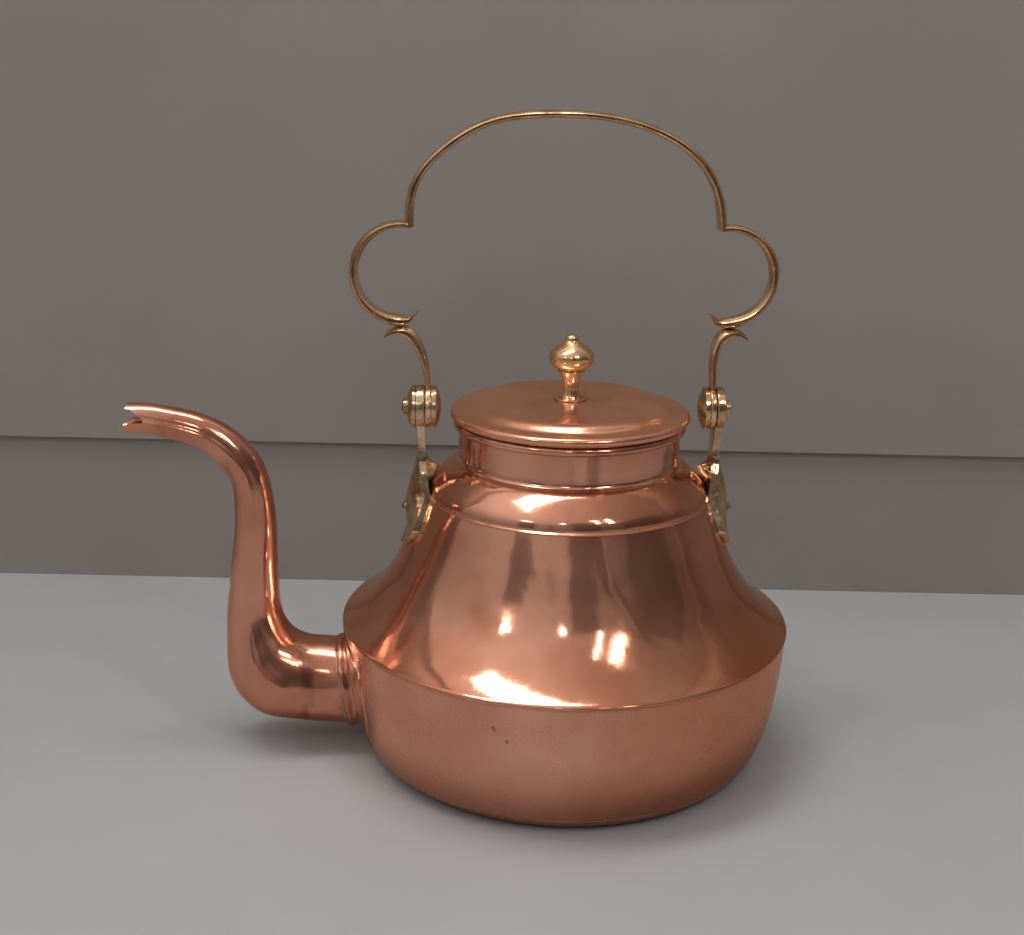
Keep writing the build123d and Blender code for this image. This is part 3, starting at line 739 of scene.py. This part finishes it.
# ---------------------------------------------------------------- handle
PIVOT_Z, PIVOT_R, PIN_R = 239.0, 14.2, 4.06
STRAP_W, STRAP_T, CROWN_T = 14.0, 5.6, 4.4
TIP_T, TIP_W = 0.5, 1.2
LEAN = -5.8
ARCH = [(-105.2, 356.0), (-105.2, 366.0), (-100.6, 385.0), (-83.5, 404.8), (-55.5, 421.0),
        (-18.0, 426.4), (19.5, 424.7), (48.0, 417.5), (76.0, 400.5), (88.8, 381.5), (93.0, 364.0),
        (93.6, 356.0)]
ARM = [(93.0, 248.0), (93.2, 254.0), (94.3, 270.0), (97.7, 281.4), (103.0, 288.0), (111.0, 289.4),
       (118.4, 284.4)]
LOBE_C, LOBE_R, LOBE_TIP = np.array((104.3, 326.8)), 30.7, np.array((93.6, 302.4))
# Section of the bar as fractions of its width and thickness; its two flat sides take a darker copy
# of the brass, a painted dark reflection.
BAR = [(-0.5, -0.16), (-0.44, -0.30), (-0.24, -0.5), (0.0, -0.44), (0.24, -0.5), (0.44, -0.30),
       (0.5, -0.16), (0.5, 0.16), (0.44, 0.30), (0.24, 0.5), (0.0, 0.56), (-0.24, 0.5),
       (-0.44, 0.30), (-0.5, 0.16)]
BAR_SIDES = 6, 13


def strap(name, path, thick, wide, nodes):
    """Bar with bevelled edges along an XZ path; thick and wide are per point."""
    verts = []
    for p, n, t, w in zip(path, normals(path), thick, wide):
        for across, out in BAR:
            t_here = t + 0.22 * wave(p[0], across * 9, p[1], 13, 1.9)
            verts.append((p[0] + n[0] * out * t_here, across * w, p[1] + n[1] * out * t_here))
    # The two flat sides take the darker brass, a painted dark reflection.
    sides = [i * len(BAR) + j for i in range(len(path) - 1) for j in BAR_SIDES]
    make(name, verts, capped(len(path), len(BAR)), [BRASS_BAIL, BRASS_SHADED_FACE], BAIL, nodes,
         sharp=24, inside=sides)


def resample(path, step=1.2):
    """Path with even steps, and the fraction of its length at each point."""
    d = np.concatenate([[0], np.cumsum(np.linalg.norm(np.diff(path, axis=0), axis=1))])
    s = np.linspace(0, d[-1], int(d[-1] / step) + 1)
    return np.stack([np.interp(s, d, path[:, 0]), np.interp(s, d, path[:, 1])], 1), s / d[-1]


def pointed(full, tip, t, length, power=1.0):
    """Size that falls from full to tip over the last part of a bar."""
    return tip + (full - tip) * np.clip((1 - t) / length, 0, 1)**power


def eye(side, near, far, bevel, soft):
    """Disc round the handle's pivot between two distances from the middle of the kettle."""
    across, along = bevel
    ring = rounded([(PIN_R, near), (PIVOT_R - across, near), (PIVOT_R, near + along),
                    (PIVOT_R, far - along), (PIVOT_R - across, far), (PIN_R, far)], soft)
    verts, faces = lathe(ring, None, 72)
    return [(side * v[2], v[0], v[1] + PIVOT_Z) for v in verts], faces


def lobe(side, tag):
    """Open ring of the handle between its arch and its arm, ending in a point."""
    x, z = LOBE_C
    lead = np.array([(x - 5.6, z + LOBE_R - 0.6), (x - 2.5, z + LOBE_R - 0.1)])
    bow = arc(x, z, LOBE_R, 90, -98, 60)
    tail = spline([bow[-1], LOBE_TIP + (4.2, -3.4), LOBE_TIP], (-1, 0.14), (-0.55, 0.9), 14)[1:]
    path, t = resample(np.concatenate([lead, bow, tail]))
    thin, swell = np.maximum(0, 1 - t / 0.35), np.maximum(0, 1 - np.abs(t - 0.82) / 0.14)
    thick = STRAP_T - 1.9 * thin + 1.2 * swell
    strap("bail_lobe_" + tag, path * (side, 1) + (LEAN, 0), pointed(thick, TIP_T, t, 0.12),
          pointed(STRAP_W, TIP_W, t, 0.12, 0.7), ["handle_lobe_" + tag])


def arm(side, tag):
    """Arm of the handle from the pivot up, ending in an outward curl under the lobe."""
    path, t = resample(spline(ARM, (0, 1), (0.75, -1), 60))
    shear = -3.2 * np.clip((path[:, 1] - 257) / 28, 0, 1)
    path = path * (side, 1)
    path[:, 0] += shear
    thick = 4.0 + 3.6 * np.clip(t / 0.70, 0, 1)**2
    wide = pointed(STRAP_W, TIP_W, t, 0.12, 0.7) * (0.82 + 0.18 * t)
    strap("bail_arm_" + tag, path, pointed(thick, TIP_T, t, 0.30, 0.9), wide, [])
    verts, faces = eye(side, 91.1, 95.0, (0.6, 0.6), 0.4)
    make("bail_boss_" + tag, verts, faces, BRASS_BAIL, BAIL, ["handle_arm_" + tag])


def handle():
    """Bail of flat bar: an arch over the lid, and a lobe and an arm on each side."""
    path, t = resample(spline(ARCH, (0, 1), (0, -1), 200))
    edge = np.abs(2 * t - 1)
    strap("bail_arch", path, CROWN_T + 1.2 * edge**2, STRAP_W - 2.5 + 2.5 * edge, ["handle_arch"])
    for side, tag in SIDES:
        lobe(side, tag)
        arm(side, tag)


# ---------------------------------------------------------------- lugs
# The disc is above SHANK_Z, and the leaf lies on the waist below LEAF_Z.
SHANK_Z, LEAF_Z, HEEL_Z = 228.0, 183.0, 199.0
LUG_OUTER = [(101.4, SHANK_Z), (99.6, 213.0), (102.6, 198.0), (106.8, 181.0), (107.8, 168.0),
             (105.5, 152.0)]
LUG_WIDTH = [(146.5, 1.5), (147.5, 7.0), (150, 15.0), (154, 21.5), (160, 25.0), (168, 23.0),
             (178, 18.5), (188, 15.5), (197, 12.5), (204, 8.2), (214, 7.2), (SHANK_Z, 8.6)]
LUG_THICK = [(148, 3.4), (160, 4.6), (178, 4.4), (190, 4.0), (205, 5.0)]
LUG_BACK = [(LEAF_Z, 91.6), (192.0, 93.0), (201.0, 94.0), (209.0, 94.6), (SHANK_Z, 95.4)]
LUG_HEEL = [(LEAF_Z, 91.6), (199.6, 85.4), (200.9, 88.6), (203.0, 91.8), (206.5, 93.8),
            (212.0, 94.7), (SHANK_Z, 95.4)]
LUG_COLS = 21


def skin(y, z):
    """Distance out to the kettle's wall beside the lug."""
    return math.sqrt(max(body_radius(z)**2 - y * y, 1)) + 0.15


def lug_back(y, z):
    """Back of the lug: on the waist below, above it flat with the heel's spur down its middle."""
    if z < LEAF_Z:
        return skin(y, z)
    back = at(z, LUG_BACK)
    heel = max(at(z, LUG_HEEL), skin(y, z) if z < HEEL_Z else 0)
    return back + (heel - back) * max(0.0, 1 - (y / 3.6)**2)


def lug_row(side, z, outer):
    """Points round the lug at one height; outer is the table of its front."""
    on_disc = z >= SHANK_Z
    width = 8.6 + 3.0 * (z - SHANK_Z) / 12 if on_disc else at(z, LUG_WIDTH)
    middle = LUG_OUTER[0][0] if on_disc else at(z, outer)
    spread = [-1 + 2 * j / (LUG_COLS - 1) for j in range(LUG_COLS)]
    row = []
    for v in spread:
        y = v * width
        rim = (skin(y, z) if z < LEAF_Z else at(z, LUG_BACK)) + at(z, LUG_THICK)
        rim = min(rim, middle - 0.4) if z > 190 else rim
        hammer = 0.4 * wave(side * 100, y, z, 9, 6.6)
        row.append((max(rim, rim + (middle - rim) * (1 - abs(v)**1.5)) + hammer, y, z))
    for v in reversed(spread):
        y = v * width * 0.985
        row.append((lug_back(y, z), y, z))
    return row


def lug(side, tag):
    """Cast lug: disc, flat shank, pointed heel on the shoulder and a leaf wrapped on the waist."""
    outer = flow(LUG_OUTER, 60)[::-1, ::-1]
    levels = np.concatenate([np.linspace(240, 205, 15), np.linspace(203.5, 199.6, 5),
                             np.linspace(198, 146.5, 42)])
    rows = [lug_row(side, z, outer) for z in levels]
    verts = [(side * x, y, z) for row in rows for x, y, z in row]
    make("lug_leaf_" + tag, verts, capped(len(rows), 2 * LUG_COLS), BRASS_CAST, BODY,
         ["lug_" + tag], sharp=38)
    verts, faces = eye(side, 95.45, 101.35, (0.7, 0.65), 0.5)
    make("lug_disc_" + tag, verts, faces, BRASS_CAST, BODY)


# ---------------------------------------------------------------- build
drum()
waist()
shoulder()
neck()
base()
lid()
knob()
spout()
socket()
solder()
handle()
for SIDE, TAG in SIDES:
    lug(SIDE, TAG)

CAD_FINISH = {
    "neck_rim_wire": TIN, "lid_flange": TIN, "knob_washer": BRASS_KNOB, "knob_burr": BRASS_KNOB,
    "lug_rivets": BRASS_CAST, "lug_rivet_burrs": BRASS_CAST, "pivot_pin_right": BRASS_CAST,
    "pivot_pin_left": BRASS_CAST, "pivot_spacers": BRASS_BAIL, "pivot_washer_right": BRASS_CAST,
    "pivot_washer_left": BRASS_CAST,
}
for node_name, finish in CAD_FINISH.items():
    node = CAD[node_name]
    node.data.materials.clear()
    node.data.materials.append(finish)


# ---------------------------------------------------------------- stage
HIGH_WALL_LIGHT = (240, 237, 234)


def plain(name, colour, rough, one_sided=False):
    """Matt painted surface with faint mottling; a one-sided one pales high above the kettle,
    painted light for the metal to mirror.
    """
    mat = bpy.data.materials.new(name)
    n = Nodes(mat)
    bsdf = n.tree.nodes["Principled BSDF"]
    mottled = n.ramp(n.noise(3.0, 6, 0.6), 0.3, 0.7)
    tone = n.mix(mottled, rgba(*colour), rgba(*[c * 0.965 for c in colour]))
    n.put(bsdf.inputs["Roughness"], rough)
    n.put(bsdf.inputs["Specular IOR Level"], 0.35)
    if one_sided:
        # Painted light: the wall pales towards white from 0.55 m up.
        tone = n.mix(n.ramp(n.split()["Z"], 0.55, 1.5), tone, rgba(*HIGH_WALL_LIGHT))
        both = n.node("ShaderNodeMixShader")
        n.put(both.inputs[0], n.node("ShaderNodeNewGeometry").outputs["Backfacing"])
        n.put(both.inputs[1], bsdf.outputs[0])
        n.put(both.inputs[2], n.node("ShaderNodeBsdfTransparent").outputs[0])
        n.put(n.tree.nodes["Material Output"].inputs["Surface"], both.outputs[0])
    n.put(bsdf.inputs["Base Color"], tone)
    return mat


def panel(name, corners, mat):
    """Flat four-cornered piece of the stage."""
    mesh = bpy.data.meshes.new(name)
    mesh.from_pydata(corners, [], [(0, 1, 2, 3)])
    mesh.materials.append(mat)
    obj = bpy.data.objects.new(name, mesh)
    bpy.context.scene.collection.objects.link(obj)


FLOOR = plain("floor_paint", (178, 178, 180), 0.55)
WALL = plain("wall_paint", (154, 148, 143), 0.8, one_sided=True)
WALL_Y, WALL_SLOPE, WALL_TOP = 0.2934, -0.0620, 2.4
SEAM_Z, STEP = 0.1295, 0.006
FAR = 6.0


def backdrop(name, low, high):
    """Strip of the backdrop, slightly askew to the kettle, between two (depth, height) edges."""
    corners = [(x, WALL_Y + WALL_SLOPE * x + depth, z)
               for x, (depth, z) in ((-FAR, low), (FAR, low), (FAR, high), (-FAR, high))]
    panel(name, corners, WALL)


panel("floor", [(-FAR, -FAR, 0), (FAR, -FAR, 0), (FAR, FAR, 0), (-FAR, FAR, 0)], FLOOR)
backdrop("backdrop_low", (STEP, 0), (STEP, SEAM_Z))
backdrop("backdrop_ledge", (STEP, SEAM_Z), (0, SEAM_Z))
backdrop("backdrop_top", (0, SEAM_Z), (0, WALL_TOP))

LIT = Vector((0, 0, 0.1))
LAMP_COLOUR = 1.0, 0.97, 0.94


def softbox(name, place, width, height, watts):
    """Rectangular light turned to the kettle."""
    data = bpy.data.lights.new(name, "AREA")
    data.shape, data.size, data.size_y = "RECTANGLE", width, height
    data.energy, data.color = watts, LAMP_COLOUR
    lamp = bpy.data.objects.new(name, data)
    bpy.context.scene.collection.objects.link(lamp)
    lamp.location = place
    lamp.rotation_mode = "QUATERNION"
    lamp.rotation_quaternion = (LIT - Vector(place)).to_track_quat("-Z", "Y")


softbox("over", (-0.38, -0.15, 2.0), 0.40, 1.30, 13)
softbox("left", (-1.15, -1.28, 1.28), 0.20, 0.09, 1.2)
softbox("middle", (-0.21, -1.69, 1.32), 0.09, 0.12, 0.7)
softbox("slit", (0.48, -1.42, 1.56), 0.05, 0.50, 1.4)
softbox("right", (0.84, -1.26, 1.56), 0.17, 0.62, 4.5)

# Tall dim shapes round the kettle: bearing, half width and top as directions, and depth of shade.
SHAPES = [(-0.68, 0.11, 0.44, 0.62), (-0.30, 0.03, 0.40, 0.35), (0.16, 0.15, 0.60, 0.55),
          (1.05, 0.30, 0.55, 0.35)]
CEILING = [(0.0, 0.22), (0.48, 0.15), (0.56, 0.17), (0.68, 0.24), (0.82, 0.40), (0.93, 0.52),
           (1.0, 0.58)]


def brightness(n, place):
    """Room light: lighter on the left, dimmer on the right, with shapes only the metal mirrors."""
    ragged = n.math("MULTIPLY", n.math("SUBTRACT", n.noise(9.0, 2, 0.5), 0.5), 0.16)
    bearing = n.math("ARCTAN2", place["X"], n.math("MULTIPLY", place["Y"], -1.0))
    bearing = n.math("ADD", bearing, ragged)
    light = n.ramp(place["X"], -0.75, 0.75, 1.75, 0.62)
    mirrored = n.math("SUBTRACT", 1.0, n.camera_ray())
    for middle, half, top, depth in SHAPES:
        off = n.math("ABSOLUTE", n.math("SUBTRACT", bearing, middle))
        across = n.ramp(off, half, half + 0.05, depth, 0.0)
        body = n.math("MULTIPLY", across, n.ramp(place["Z"], top, top + 0.06, 1.0, 0.0))
        left = n.math("SUBTRACT", 1.0, n.math("MULTIPLY", body, mirrored))
        light = n.math("MULTIPLY", light, left)
    return light


def room():
    """Soft grey room: dim walls and a brighter ceiling for the metal to mirror."""
    world = bpy.data.worlds.new("room")
    bpy.context.scene.world = world
    n = Nodes(world, "Generated")
    place = n.split()
    lift = n.node("ShaderNodeMapRange")
    n.put(lift.inputs["From Min"], -1.0)
    n.put(lift.inputs["Value"], place["Z"])
    ramp = n.node("ShaderNodeValToRGB")
    while len(ramp.color_ramp.elements) < len(CEILING):
        ramp.color_ramp.elements.new(0.5)
    for element, (height, level) in zip(ramp.color_ramp.elements, CEILING):
        element.position = height
        element.color = (level, level * 0.985, level * 0.965, 1)
    n.put(ramp.inputs[0], lift.outputs[0])
    background = n.tree.nodes["Background"]
    n.put(background.inputs["Color"], ramp.outputs[0])
    n.put(background.inputs["Strength"], brightness(n, place))


room()

# ---------------------------------------------------------------- camera
FOCAL = 52.2
YAW, PITCH, ROLL = math.radians(3.24), math.radians(16.43), math.radians(1.13)
EYE = Vector((-0.0908, -0.9431, 0.4761))
ahead = Vector((math.sin(YAW) * math.cos(PITCH), math.cos(YAW) * math.cos(PITCH), -math.sin(PITCH)))
right = Vector((math.cos(YAW), -math.sin(YAW), 0))
above = right.cross(ahead)
right, above = (right * math.cos(ROLL) + above * math.sin(ROLL),
                above * math.cos(ROLL) - right * math.sin(ROLL))
lens = bpy.data.cameras.new("camera")
lens.lens, lens.sensor_width = FOCAL, 36.0
camera = bpy.data.objects.new("camera", lens)
bpy.context.scene.collection.objects.link(camera)
turn = Matrix((right, above, -ahead)).transposed().to_4x4()
camera.matrix_world = Matrix.Translation(EYE) @ turn
bpy.context.scene.camera = camera
bpy.context.scene.view_settings.view_transform = "Standard"

bpy.context.view_layer.update()
